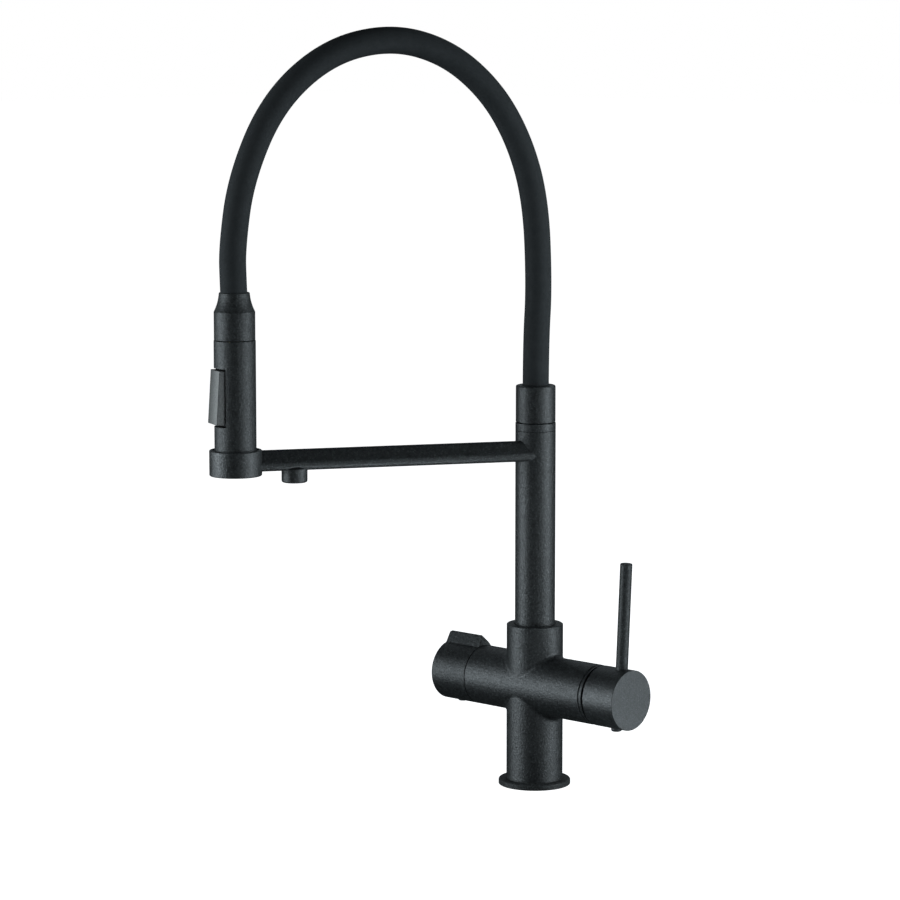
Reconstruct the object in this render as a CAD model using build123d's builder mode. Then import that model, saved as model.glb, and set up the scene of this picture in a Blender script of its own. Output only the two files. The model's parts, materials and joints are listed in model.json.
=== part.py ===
from build123d import *
import os
from math import sin, cos, tan, radians, degrees, atan2, sqrt, hypot

# ---------------------------------------------------------------------------
# Driving dimensions (millimetres). Origin: middle of the base on the worktop,
# +Z up, the cross tube along X (mixer handle at +X, filter knob at -X).
# ---------------------------------------------------------------------------
SWIVEL_DEG = 29.4          # spout direction, from -Y towards -X

FLANGE_R = 25.2
FLANGE_H = 4.2
BASE_SPIGOT_R = 16.0       # body spigot inside the flange
COLUMN_R = 19.74
COLUMN_TOP = 114.2

CROSS_Z = 71.4             # axis of the cross tube
CROSS_R = 20.87
BODY_X_MIN = -48.1
BODY_X_MAX = 57.5
BLEND_R = 4.0              # soft blend between column and cross tube

CHAMBER_R = 17.6           # mixer cartridge chamber
CHAMBER_X = 24.0
PIVOT_X = 44.0             # flow pivot of the mixer stem
TRIM_X0 = 57.65
TRIM_X1 = 60.2
CAP_X0 = 62.2
CAP_X1 = 88.3
CAP_CAVITY_R = 18.9
LEVER_R = 4.2
LEVER_LEAN_DEG = 2.62
LEVER_TOP = 165.7
PLUG_X = 75.2

FILTER_CHAMBER_R = 9.0
FILTER_CHAMBER_X = -26.0
KNOB_X0 = -80.3
KNOB_X1 = -48.45
KNOB_SCREW_X = -68.5

SWIVEL_BORE_R = 12.1
SPIGOT_R = 12.0
RISER_R = 14.0
RISER_BORE_R = 12.5
RISER_Z0 = 111.2
RISER_Z1 = 250.4
ADAPTER_Z1 = 255.8
COLLAR_Z0 = 256.3
COLLAR_Z1 = 281.9
COLLAR_R = 13.8

ARM_Z = 236.9
ARM_HALF_H = 7.05          # arm section: round top, wider rounded foot
ARM_TOP_R = 3.2
ARM_FOOT_R = 4.0
ARM_FOOT_N = 3.8
ARM_WALL = 1.5
ARM_OFFSET = 5.6           # the arm meets the riser beside its axis
HEAD_S = 214.15            # spray head axis, from the riser axis
CUP_R = 17.85
CUP_Z0 = 227.4
CUP_Z1 = 244.8
OUTLET_S = 173.4
OUTLET_R = 8.85
OUTLET_Z0 = 221.3

HOSE_R = 9.1
HOSE_BORE_R = 7.4
INNER_HOSE_R = 6.0
INNER_HOSE_BORE_R = 4.0
HOSE_Z0 = 271.0
HOSE_ROUTE = [             # (distance along the spout, height)
    (0.0, 271.0), (0.0, 312.0), (-2.24, 349.4), (0.3, 408.57), (12.12, 450.36),
    (33.02, 485.36), (64.76, 511.45), (104.58, 521.84), (148.86, 511.24),
    (186.68, 478.0), (209.4, 427.56), (215.7, 381.0), (214.5, 357.5), (214.15, 347.0), (214.15, 331.0),
]

NUT_Z0 = 319.45
NUT_Z1 = 351.4
NUT_R = 13.95
SHELL_R = 14.2
SHELL_BORE_R = 12.4
SHELL_Z1 = 319.2
ROCKER_TURN_DEG = 6.0      # the rocker faces a little to the side of the spout
ROCKER_HALF_W = 8.9
ROCKER_GAP = 0.9          # open line round the rocker
ROCKER_PIVOT_S = 6.5
ROCKER_PIVOT_Z = 280.7
ROCKER_HALF_H = 18.3
ROCKER_FACE = 15.4         # face distance from the head axis at mid throw
ROCKER_REST_DEG = 3.6

# ---------------------------------------------------------------------------
# Frames
# ---------------------------------------------------------------------------
sw = radians(SWIVEL_DEG)
S = Vector(-sin(sw), -cos(sw), 0)      # along the spout
N = Vector(cos(sw), -sin(sw), 0)       # to the side of the spout
UP = Vector(0, 0, 1)
HEAD = S * HEAD_S

CROSS_AXIS = Axis((0, 0, CROSS_Z), (1, 0, 0))
HEAD_AXIS = Axis((HEAD.X, HEAD.Y, 0), (0, 0, 1))

CROSS_XR = Plane(origin=(0, 0, CROSS_Z), x_dir=(1, 0, 0), z_dir=(0, -1, 0))
SPOUT_XY = Plane(origin=(0, 0, 0), x_dir=S, z_dir=UP)
SPOUT_SZ = Plane(origin=(0, 0, 0), x_dir=S, z_dir=N * -1)
HEAD_XY = Plane(origin=HEAD, x_dir=S, z_dir=UP)
HEAD_RZ = Plane(origin=HEAD, x_dir=S, z_dir=N * -1)
rk = radians(ROCKER_TURN_DEG)
RS = S * cos(rk) + N * sin(rk)         # out through the rocker
RN = N * cos(rk) - S * sin(rk)         # along the rocker's pin
ROCK_XY = Plane(origin=HEAD, x_dir=RS, z_dir=UP)
ROCK_SZ = Plane(origin=HEAD, x_dir=RS, z_dir=RN * -1)


def across(x):
    """Plane square to the cross tube at x; local x is world Y, local y is world Z above the tube axis."""
    return Plane(origin=(x, 0, CROSS_Z), x_dir=(0, 1, 0), z_dir=(1, 0, 0))


os.makedirs("parts", exist_ok=True)

# ---------------------------------------------------------------------------
# Base
# ---------------------------------------------------------------------------
with BuildPart() as base_flange:
    with BuildSketch(Plane.XY):
        Circle(FLANGE_R)
        Circle(BASE_SPIGOT_R + 0.1, mode=Mode.SUBTRACT)
    extrude(amount=FLANGE_H)
    fillet(base_flange.edges().filter_by(GeomType.CIRCLE).group_by(SortBy.RADIUS)[-1].sort_by(Axis.Z)[-1], 1.3)
    fillet(base_flange.edges().filter_by(GeomType.CIRCLE).group_by(SortBy.RADIUS)[-1].sort_by(Axis.Z)[0], 0.6)
    with BuildSketch(Plane.XY):
        Circle(23.0)
        Circle(18.5, mode=Mode.SUBTRACT)
    extrude(amount=1.5, mode=Mode.SUBTRACT)
base_flange.part.label = "base_flange"
export_step(base_flange.part, "parts/base_flange.step")

with BuildPart() as base_gasket:
    with BuildSketch(Plane.XY):
        Circle(23.0)
        Circle(18.5, mode=Mode.SUBTRACT)
    extrude(amount=1.5)
base_gasket.part.label = "base_gasket"
export_step(base_gasket.part, "parts/base_gasket.step")

# ---------------------------------------------------------------------------
# Valve body: column, cross tube, chambers and water ways
# ---------------------------------------------------------------------------
INLET_X, INLET_Y = 8.5, 7.0
FILTER_IN_X = -9.5
STUD_X, STUD_Y = 0.0, 11.3
HOT_Z = CROSS_Z - 6.0
MIX_Z = CROSS_Z + 7.0
FILTER_OUT_Z = CROSS_Z + 7.4
SWIVEL_FLOOR = 88.0

with BuildPart() as valve_body:
    with BuildSketch(Plane.XY.offset(FLANGE_H)):
        Circle(COLUMN_R)
    extrude(amount=COLUMN_TOP - FLANGE_H)
    with BuildSketch(across(BODY_X_MIN)):
        Circle(CROSS_R)
    extrude(amount=BODY_X_MAX - BODY_X_MIN)
    seam = [e for e in valve_body.edges() if e.geom_type not in (GeomType.LINE, GeomType.CIRCLE)]
    fillet(seam, BLEND_R)
    rims = valve_body.edges().filter_by(GeomType.CIRCLE)
    chamfer(rims.sort_by(Axis.Z)[-1], 0.5)
    chamfer(rims.sort_by(Axis.X)[-1], 0.3)
    chamfer(rims.sort_by(Axis.X)[0], 0.3)
    with BuildSketch(Plane.XY):
        Circle(BASE_SPIGOT_R)
    extrude(amount=FLANGE_H)
    # mixer chamber and filter chamber
    with BuildSketch(across(CHAMBER_X)):
        Circle(CHAMBER_R)
    extrude(amount=BODY_X_MAX - CHAMBER_X, mode=Mode.SUBTRACT)
    with BuildSketch(across(BODY_X_MIN)):
        Circle(FILTER_CHAMBER_R)
    extrude(amount=FILTER_CHAMBER_X - BODY_X_MIN, mode=Mode.SUBTRACT)
    # swivel bore and its counterbore
    with BuildSketch(Plane.XY.offset(SWIVEL_FLOOR)):
        Circle(SWIVEL_BORE_R)
    extrude(amount=COLUMN_TOP - SWIVEL_FLOOR, mode=Mode.SUBTRACT)
    with BuildSketch(Plane.XY.offset(110.2)):
        Circle(14.5)
    extrude(amount=COLUMN_TOP - 110.2, mode=Mode.SUBTRACT)
    # hot and cold ways
    with BuildSketch(Plane.XY):
        with Locations((INLET_X, INLET_Y), (INLET_X, -INLET_Y)):
            Circle(3.4)
    extrude(amount=HOT_Z + 3.0, mode=Mode.SUBTRACT)
    with BuildSketch(across(INLET_X)):
        with Locations((INLET_Y, HOT_Z - CROSS_Z), (-INLET_Y, HOT_Z - CROSS_Z)):
            Circle(3.0)
    extrude(amount=CHAMBER_X - INLET_X, mode=Mode.SUBTRACT)
    # mixed water way
    with BuildSketch(across(0.0)):
        with Locations((0, MIX_Z - CROSS_Z)):
            Circle(4.0)
    extrude(amount=CHAMBER_X, mode=Mode.SUBTRACT)
    with BuildSketch(Plane.XY.offset(MIX_Z - 4.0)):
        Circle(5.0)
    extrude(amount=SWIVEL_FLOOR - MIX_Z + 4.0, mode=Mode.SUBTRACT)
    # filtered water in and out
    with BuildSketch(Plane.XY):
        with Locations((FILTER_IN_X, 0)):
            Circle(3.0)
    extrude(amount=CROSS_Z + 2.6, mode=Mode.SUBTRACT)
    with BuildSketch(across(FILTER_CHAMBER_X)):
        Circle(2.6)
    extrude(amount=FILTER_IN_X - FILTER_CHAMBER_X, mode=Mode.SUBTRACT)
    with BuildSketch(across(FILTER_CHAMBER_X)):
        with Locations((0, FILTER_OUT_Z - CROSS_Z)):
            Circle(1.5)
    extrude(amount=-15.9 - FILTER_CHAMBER_X, mode=Mode.SUBTRACT)
    with BuildSketch(Plane.XY.offset(FILTER_OUT_Z - 1.5)):
        with Locations((-15.9, 0)):
            Circle(1.6)
    extrude(amount=97.0 + 1.5 - FILTER_OUT_Z + 1.5, mode=Mode.SUBTRACT)
    with BuildSketch(Plane(origin=(-15.9, 0, 97.0), x_dir=(0, 1, 0), z_dir=(1, 0, 0))):
        Circle(1.5)
    extrude(amount=5.0, mode=Mode.SUBTRACT)
    # threaded ports, stud holes and the retaining screw hole
    with BuildSketch(Plane.XY):
        with Locations((INLET_X, INLET_Y), (INLET_X, -INLET_Y), (FILTER_IN_X, 0)):
            Circle(4.5)
    extrude(amount=11.0, mode=Mode.SUBTRACT)
    with BuildSketch(Plane.XY):
        with Locations((STUD_X, STUD_Y), (STUD_X, -STUD_Y)):
            Circle(2.5)
    extrude(amount=14.0, mode=Mode.SUBTRACT)
    with BuildSketch(Plane(origin=(0, COLUMN_R + 1.0, 106.0), x_dir=(1, 0, 0), z_dir=(0, -1, 0))):
        Circle(2.5)
    extrude(amount=COLUMN_R + 1.0 - 9.0, mode=Mode.SUBTRACT)
valve_body.part.label = "valve_body"
export_step(valve_body.part, "parts/valve_body.step")

with BuildPart() as spout_retaining_screw:
    with BuildSketch(Plane(origin=(0, 18.6, 106.0), x_dir=(1, 0, 0), z_dir=(0, -1, 0))):
        Circle(2.5)
        RegularPolygon(1.25, 6, mode=Mode.SUBTRACT)
    extrude(amount=2.2)
    with BuildSketch(Plane(origin=(0, 16.4, 106.0), x_dir=(1, 0, 0), z_dir=(0, -1, 0))):
        Circle(2.5)
    extrude(amount=16.4 - 12.6)
    with BuildSketch(Plane(origin=(0, 12.6, 106.0), x_dir=(1, 0, 0), z_dir=(0, -1, 0))):
        Circle(1.2)
    extrude(amount=12.6 - 10.9)
spout_retaining_screw.part.label = "spout_retaining_screw"
export_step(spout_retaining_screw.part, "parts/spout_retaining_screw.step")

with BuildPart() as swivel_washer:
    with BuildSketch(Plane.XY.offset(110.2)):
        Circle(14.4)
        Circle(12.3, mode=Mode.SUBTRACT)
    extrude(amount=0.7)
swivel_washer.part.label = "swivel_washer"
export_step(swivel_washer.part, "parts/swivel_washer.step")

# ---------------------------------------------------------------------------
# Mixer cartridge, fixed pieces
# ---------------------------------------------------------------------------
PORTS = [(INLET_Y, HOT_Z - CROSS_Z), (-INLET_Y, HOT_Z - CROSS_Z), (0.0, MIX_Z - CROSS_Z)]

with BuildPart() as cartridge_seals:
    with BuildSketch(across(CHAMBER_X)):
        with Locations(*PORTS):
            Circle(5.4)
        with Locations(*PORTS):
            Circle(4.2, mode=Mode.SUBTRACT)
    extrude(amount=1.2)
cartridge_seals.part.label = "cartridge_seals"
export_step(cartridge_seals.part, "parts/cartridge_seals.step")

with BuildPart() as cartridge_base:
    with BuildSketch(across(CHAMBER_X + 1.2)):
        Circle(17.4)
        with Locations(*PORTS):
            Circle(3.6, mode=Mode.SUBTRACT)
    extrude(amount=3.3)
cartridge_base.part.label = "cartridge_base"
export_step(cartridge_base.part, "parts/cartridge_base.step")

with BuildPart() as fixed_ceramic_disc:
    with BuildSketch(across(28.5)):
        Circle(15.3)
        with Locations(*PORTS):
            Circle(3.4, mode=Mode.SUBTRACT)
    extrude(amount=3.0)
fixed_ceramic_disc.part.label = "fixed_ceramic_disc"
export_step(fixed_ceramic_disc.part, "parts/fixed_ceramic_disc.step")

with BuildPart() as cartridge_housing:
    with BuildSketch(CROSS_XR):
        with BuildLine():
            Polyline((28.5, 15.5), (47.5, 15.5), (47.5, 12.6), (49.5, 12.6), (49.5, 17.4), (28.5, 17.4), close=True)
        make_face()
    revolve(axis=CROSS_AXIS)
cartridge_housing.part.label = "cartridge_housing"
export_step(cartridge_housing.part, "parts/cartridge_housing.step")

with BuildPart() as cartridge_nut:
    with BuildSketch(across(49.5)):
        Circle(17.5)
        Circle(13.0, mode=Mode.SUBTRACT)
    extrude(amount=7.7)
    with BuildSketch(across(54.2)):
        with PolarLocations(13.0, 6):
            Rectangle(2.4, 3.2)
    extrude(amount=3.0, mode=Mode.SUBTRACT)
cartridge_nut.part.label = "cartridge_nut"
export_step(cartridge_nut.part, "parts/cartridge_nut.step")

with BuildPart() as cartridge_trim_ring:
    with BuildSketch(CROSS_XR):
        with BuildLine():
            Polyline((57.2, 15.2), (57.2, 17.3), (TRIM_X0, 17.3), (TRIM_X0, 20.2), (58.3, 20.2), (58.5, 20.3),
                     (58.7, 20.45), (59.8, 20.45), (60.1, 20.2), (TRIM_X1, 19.8), (TRIM_X1, 15.2), close=True)
        make_face()
    revolve(axis=CROSS_AXIS)
cartridge_trim_ring.part.label = "cartridge_trim_ring"
export_step(cartridge_trim_ring.part, "parts/cartridge_trim_ring.step")

# ---------------------------------------------------------------------------
# Mixer cartridge, moving pieces
# ---------------------------------------------------------------------------
with BuildPart() as moving_ceramic_disc:
    with BuildSketch(across(31.8)):
        Circle(11.0)
    extrude(amount=3.0)
    with BuildSketch(across(31.8)):
        SlotCenterToCenter(7.0, 7.0)
    extrude(amount=1.8, mode=Mode.SUBTRACT)
moving_ceramic_disc.part.label = "moving_ceramic_disc"
export_step(moving_ceramic_disc.part, "parts/moving_ceramic_disc.step")

with BuildPart() as disc_carrier:
    with BuildSketch(across(34.8)):
        Circle(11.0)
    extrude(amount=2.7)
    with BuildSketch(across(35.4)):
        Circle(3.4)
    extrude(amount=2.1, mode=Mode.SUBTRACT)
disc_carrier.part.label = "disc_carrier"
export_step(disc_carrier.part, "parts/disc_carrier.step")

with BuildPart() as cartridge_rotor:
    with BuildSketch(CROSS_XR):
        with BuildLine():
            Polyline((37.9, 0), (37.9, 15.2), (47.2, 15.2), (47.2, 12.3), (50.8, 12.3), (50.8, 0), close=True)
        make_face()
    revolve(axis=CROSS_AXIS)
    with BuildSketch(across(37.9)):
        Rectangle(7.8, 15.0)
    extrude(amount=12.9, mode=Mode.SUBTRACT)
    with BuildSketch(Plane(origin=(PIVOT_X, -15.2, CROSS_Z), x_dir=(1, 0, 0), z_dir=(0, 1, 0))):
        Circle(1.5)
    extrude(amount=30.4, mode=Mode.SUBTRACT)
cartridge_rotor.part.label = "cartridge_rotor"
export_step(cartridge_rotor.part, "parts/cartridge_rotor.step")

with BuildPart() as stem_pin:
    with BuildSketch(Plane(origin=(PIVOT_X, -11.0, CROSS_Z), x_dir=(1, 0, 0), z_dir=(0, 1, 0))):
        Circle(1.5)
    extrude(amount=22.0)
stem_pin.part.label = "stem_pin"
export_step(stem_pin.part, "parts/stem_pin.step")

STEM_END = 79.0
with BuildPart() as cartridge_stem:
    with BuildSketch(across(40.2)):
        Rectangle(7.0, 7.0)
    extrude(amount=STEM_END - 40.2)
    with BuildSketch(across(36.3)):
        Circle(2.6)
    extrude(amount=40.2 - 36.3)
    chamfer(cartridge_stem.faces().sort_by(Axis.X)[0].edges(), 0.7)
    with BuildSketch(Plane(origin=(PIVOT_X, -4.0, CROSS_Z), x_dir=(1, 0, 0), z_dir=(0, 1, 0))):
        Circle(1.56)
    extrude(amount=8.0, mode=Mode.SUBTRACT)
cartridge_stem.part.label = "cartridge_stem"
export_step(cartridge_stem.part, "parts/cartridge_stem.step")

# ---------------------------------------------------------------------------
# Mixer handle
# ---------------------------------------------------------------------------
lean = radians(LEVER_LEAN_DEG)
LEVER_Z0 = 79.0
LEVER_X0 = 79.05
LEVER_DIR = Vector(sin(lean), 0, cos(lean))
LEVER_PLANE = Plane(origin=(LEVER_X0, 0, LEVER_Z0), x_dir=(cos(lean), 0, -sin(lean)), z_dir=LEVER_DIR)
LEVER_L = (LEVER_TOP - LEVER_Z0) / cos(lean)
PLUG_Z0 = 48.3

with BuildPart() as handle_cap:
    with BuildSketch(CROSS_XR):
        with BuildLine():
            Polyline((66.0, 0), (66.0, 8.5), (73.4, 8.5), (73.4, CAP_CAVITY_R - 0.4), (63.0, CAP_CAVITY_R),
                     (CAP_X0, CAP_CAVITY_R), (CAP_X0, CROSS_R), (CAP_X1, CROSS_R), (CAP_X1, 0), close=True)
        make_face()
    revolve(axis=CROSS_AXIS)
    fillet(handle_cap.edges().filter_by(GeomType.CIRCLE).sort_by(Axis.X)[-1], 0.45)
    with BuildSketch(across(66.0)):
        Rectangle(7.0, 7.0)
    extrude(amount=STEM_END - 66.0, mode=Mode.SUBTRACT)
    with BuildSketch(LEVER_PLANE):
        Circle(LEVER_R)
    extrude(amount=20.0, mode=Mode.SUBTRACT)
    with BuildSketch(Plane(origin=(PLUG_X, 0, 45.0), x_dir=(1, 0, 0), z_dir=(0, 0, 1))):
        Circle(2.0)
    extrude(amount=CROSS_Z - 3.5 - 45.0, mode=Mode.SUBTRACT)
    with BuildSketch(Plane(origin=(PLUG_X, 0, 45.0), x_dir=(1, 0, 0), z_dir=(0, 0, 1))):
        Circle(3.0)
    extrude(amount=56.5 - 45.0, mode=Mode.SUBTRACT)
handle_cap.part.label = "handle_cap"
export_step(handle_cap.part, "parts/handle_cap.step")

with BuildPart() as handle_lever:
    with BuildSketch(LEVER_PLANE):
        Circle(LEVER_R)
    extrude(amount=LEVER_L)
    fillet(handle_lever.faces().sort_by(Axis.Z)[-1].edges(), 0.6)
handle_lever.part.label = "handle_lever"
export_step(handle_lever.part, "parts/handle_lever.step")

with BuildPart() as handle_set_screw:
    with BuildSketch(Plane.XY.offset(59.5)):
        with Locations((PLUG_X, 0)):
            Circle(2.0)
            RegularPolygon(1.0, 6, mode=Mode.SUBTRACT)
    extrude(amount=2.5)
    with BuildSketch(Plane.XY.offset(62.0)):
        with Locations((PLUG_X, 0)):
            Circle(2.0)
    extrude(amount=CROSS_Z - 3.5 - 62.0)
handle_set_screw.part.label = "handle_set_screw"
export_step(handle_set_screw.part, "parts/handle_set_screw.step")

PLUG_SEAT = CROSS_Z - sqrt(CROSS_R ** 2 - 3.7 ** 2)
with BuildPart() as handle_plug:
    with BuildSketch(Plane.XY.offset(PLUG_Z0)):
        with Locations((PLUG_X, 0)):
            Circle(3.7)
    extrude(amount=PLUG_SEAT - PLUG_Z0)
    fillet(handle_plug.faces().sort_by(Axis.Z)[0].edges(), 1.1)
    with BuildSketch(across(PLUG_X - 6.0)):
        Circle(CROSS_R)
    extrude(amount=12.0, mode=Mode.SUBTRACT)
    with BuildSketch(Plane.XY.offset(PLUG_Z0 + 1.2)):
        with Locations((PLUG_X, 0)):
            Circle(3.0)
    extrude(amount=56.5 - PLUG_Z0 - 1.2)
handle_plug.part.label = "handle_plug"
export_step(handle_plug.part, "parts/handle_plug.step")

# ---------------------------------------------------------------------------
# Filtered-water valve and knob
# ---------------------------------------------------------------------------
with BuildPart() as filter_valve_body:
    with BuildSketch(CROSS_XR):
        with BuildLine():
            Polyline((BODY_X_MIN, 5.6), (-45.8, 5.6), (-45.8, 4.05), (-40.0, 4.05), (-40.0, 7.3), (-27.5, 7.3),
                     (-27.5, 8.3), (-36.0, 8.3), (-36.0, 8.95), (BODY_X_MIN, 8.95), close=True)
        make_face()
    revolve(axis=CROSS_AXIS)
    with BuildSketch(across(-52.5)):
        RegularPolygon(10.6, 6)
        Circle(4.05, mode=Mode.SUBTRACT)
    extrude(amount=BODY_X_MIN + 52.5)
    with BuildSketch(Plane.XY.offset(CROSS_Z)):
        with Locations((-30.2, 0)):
            Rectangle(4.0, 5.0)
    extrude(amount=12.0, both=True, mode=Mode.SUBTRACT)
filter_valve_body.part.label = "filter_valve_body"
export_step(filter_valve_body.part, "parts/filter_valve_body.step")

with BuildPart() as filter_spindle_seal:
    with BuildSketch(across(BODY_X_MIN)):
        Circle(5.6)
        Circle(4.05, mode=Mode.SUBTRACT)
    extrude(amount=-45.8 - BODY_X_MIN)
filter_spindle_seal.part.label = "filter_spindle_seal"
export_step(filter_spindle_seal.part, "parts/filter_spindle_seal.step")

with BuildPart() as filter_fixed_disc:
    with BuildSketch(across(-33.9)):
        Circle(7.2)
        with Locations((0, 3.6), (0, -3.6)):
            Circle(1.9, mode=Mode.SUBTRACT)
    extrude(amount=2.7)
filter_fixed_disc.part.label = "filter_fixed_disc"
export_step(filter_fixed_disc.part, "parts/filter_fixed_disc.step")

with BuildPart() as filter_seat_seal:
    with BuildSketch(across(-31.2)):
        Circle(6.9)
        Circle(5.7, mode=Mode.SUBTRACT)
    extrude(amount=FILTER_CHAMBER_X + 31.2)
filter_seat_seal.part.label = "filter_seat_seal"
export_step(filter_seat_seal.part, "parts/filter_seat_seal.step")

with BuildPart() as filter_spindle:
    with BuildSketch(CROSS_XR):
        with BuildLine():
            Polyline((-73.0, 0), (-73.0, 4.0), (-39.6, 4.0), (-39.6, 7.0), (-37.0, 7.0), (-37.0, 0), close=True)
        make_face()
    revolve(axis=CROSS_AXIS)
    with BuildSketch(across(-53.9)):
        Circle(4.5)
        Circle(3.4, mode=Mode.SUBTRACT)
    extrude(amount=1.0, mode=Mode.SUBTRACT)
filter_spindle.part.label = "filter_spindle"
export_step(filter_spindle.part, "parts/filter_spindle.step")

with BuildPart() as spindle_clip:
    with BuildSketch(across(-53.9)):
        Circle(6.0)
        Circle(3.4, mode=Mode.SUBTRACT)
        with Locations((0, -5.0)):
            Rectangle(3.4, 6.0, mode=Mode.SUBTRACT)
    extrude(amount=1.0)
spindle_clip.part.label = "spindle_clip"
export_step(spindle_clip.part, "parts/spindle_clip.step")

with BuildPart() as filter_moving_disc:
    with BuildSketch(across(-37.0)):
        Circle(7.0)
        with Locations((3.6, 0), (-3.6, 0)):
            Circle(1.9, mode=Mode.SUBTRACT)
    extrude(amount=2.8)
filter_moving_disc.part.label = "filter_moving_disc"
export_step(filter_moving_disc.part, "parts/filter_moving_disc.step")

KNOB_PLUG_Z0 = CROSS_Z - CROSS_R - 0.7
with BuildPart() as filter_knob:
    with BuildSketch(CROSS_XR):
        with BuildLine():
            Polyline((KNOB_X0, 0), (KNOB_X0, CROSS_R), (KNOB_X1, CROSS_R), (KNOB_X1, 17.8), (-64.0, 17.4),
                     (-64.0, 7.5), (-55.5, 7.5), (-55.5, 0), close=True)
        make_face()
    revolve(axis=CROSS_AXIS)
    knob_rims = filter_knob.edges().filter_by(GeomType.CIRCLE).group_by(SortBy.RADIUS)[-1]
    fillet(knob_rims.sort_by(Axis.X)[0], 0.9)
    fillet(knob_rims.sort_by(Axis.X)[-1], 0.35)
    # thumb tab along the top: steep near side, sloping far side, ramp at the inner end
    with BuildSketch(across(-79.8)):
        with BuildLine():
            Polyline((-6.1, 19.2), (-1.4, 27.3), (0.8, 27.7), (8.6, 18.6), close=True)
        make_face()
    extrude(amount=KNOB_X1 + 79.8)
    with BuildSketch(Plane(origin=(0, -7.0, CROSS_Z), x_dir=(1, 0, 0), z_dir=(0, 1, 0))):
        with BuildLine():
            Polyline((-51.4, -28.5), (KNOB_X1, -22.6), (-48.0, -22.6), (-48.0, -28.5), close=True)
        make_face()
    extrude(amount=20.0, mode=Mode.SUBTRACT)
    tab_edges = [e for e in filter_knob.edges() if e.center().Z > CROSS_Z + 26.5]
    fillet(tab_edges, 0.6)
    with BuildSketch(across(-73.0)):
        Circle(4.0)
    extrude(amount=73.0 - 55.5, mode=Mode.SUBTRACT)
    with BuildSketch(Plane.XY.offset(45.0)):
        with Locations((KNOB_SCREW_X, 0)):
            Circle(1.75)
    extrude(amount=CROSS_Z - 3.0 - 45.0, mode=Mode.SUBTRACT)
    with BuildSketch(Plane.XY.offset(45.0)):
        with Locations((KNOB_SCREW_X, 0)):
            Circle(2.6)
    extrude(amount=56.0 - 45.0, mode=Mode.SUBTRACT)
filter_knob.part.label = "filter_knob"
export_step(filter_knob.part, "parts/filter_knob.step")

with BuildPart() as knob_set_screw:
    with BuildSketch(Plane.XY.offset(59.0)):
        with Locations((KNOB_SCREW_X, 0)):
            Circle(1.75)
            RegularPolygon(0.9, 6, mode=Mode.SUBTRACT)
    extrude(amount=2.5)
    with BuildSketch(Plane.XY.offset(61.5)):
        with Locations((KNOB_SCREW_X, 0)):
            Circle(1.75)
    extrude(amount=CROSS_Z - 61.5)
    with BuildSketch(across(KNOB_SCREW_X - 6.0)):
        Circle(4.0)
    extrude(amount=12.0, mode=Mode.SUBTRACT)
knob_set_screw.part.label = "knob_set_screw"
export_step(knob_set_screw.part, "parts/knob_set_screw.step")

KNOB_PLUG_SEAT = CROSS_Z - sqrt(CROSS_R ** 2 - 3.3 ** 2)
with BuildPart() as knob_plug:
    with BuildSketch(Plane.XY.offset(KNOB_PLUG_Z0)):
        with Locations((KNOB_SCREW_X, 0)):
            Circle(3.3)
    extrude(amount=KNOB_PLUG_SEAT - KNOB_PLUG_Z0)
    fillet(knob_plug.faces().sort_by(Axis.Z)[0].edges(), 0.5)
    with BuildSketch(across(KNOB_SCREW_X - 6.0)):
        Circle(CROSS_R)
    extrude(amount=12.0, mode=Mode.SUBTRACT)
    with BuildSketch(Plane.XY.offset(KNOB_PLUG_Z0 + 0.5)):
        with Locations((KNOB_SCREW_X, 0)):
            Circle(2.6)
    extrude(amount=56.0 - KNOB_PLUG_Z0 - 0.5)
knob_plug.part.label = "knob_plug"
export_step(knob_plug.part, "parts/knob_plug.step")

# ---------------------------------------------------------------------------
# Spout: spigot, riser and water tubes
# ---------------------------------------------------------------------------
MAIN_N = -4.5              # main water tube, beside the axis
with BuildPart() as swivel_spigot:
    with BuildSketch(SPOUT_SZ):
        with BuildLine():
            Polyline((0, 89.0), (SPIGOT_R, 89.0), (SPIGOT_R, 91.8), (9.9, 91.8), (9.9, 94.2), (SPIGOT_R, 94.2),
                     (SPIGOT_R, 95.6), (10.6, 95.6), (10.6, 98.4), (SPIGOT_R, 98.4), (SPIGOT_R, 99.8), (9.9, 99.8),
                     (9.9, 102.2), (SPIGOT_R, 102.2), (SPIGOT_R, 104.3), (10.4, 104.3), (10.4, 107.7),
                     (SPIGOT_R, 107.7), (SPIGOT_R, RISER_Z0), (RISER_BORE_R, RISER_Z0), (RISER_BORE_R, 126.0),
                     (0, 126.0), close=True)
        make_face()
    revolve(axis=Axis.Z)
    with BuildSketch(SPOUT_XY.offset(89.0)):
        Circle(5.0)
    extrude(amount=26.0, mode=Mode.SUBTRACT)
    with BuildSketch(SPOUT_XY.offset(113.0)):
        with Locations((0, MAIN_N)):
            Circle(3.8)
    extrude(amount=4.0, mode=Mode.SUBTRACT)
    with BuildSketch(SPOUT_XY.offset(116.5)):
        with Locations((0, MAIN_N)):
            Circle(5.0)
    extrude(amount=9.5, mode=Mode.SUBTRACT)
    with BuildSketch(SPOUT_XY.offset(95.6)):
        with Locations((0, 8.0)):
            Circle(1.5)
    extrude(amount=25.0, mode=Mode.SUBTRACT)
    with BuildSketch(Plane(origin=N * 7.0 + UP * 97.0, x_dir=UP, z_dir=N)):
        Circle(1.3)
    extrude(amount=6.0, mode=Mode.SUBTRACT)
    with BuildSketch(SPOUT_XY.offset(118.5)):
        with Locations((0, ARM_OFFSET)):
            Circle(3.0)
    extrude(amount=7.5, mode=Mode.SUBTRACT)
swivel_spigot.part.label = "swivel_spigot"
export_step(swivel_spigot.part, "parts/swivel_spigot.step")

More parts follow.
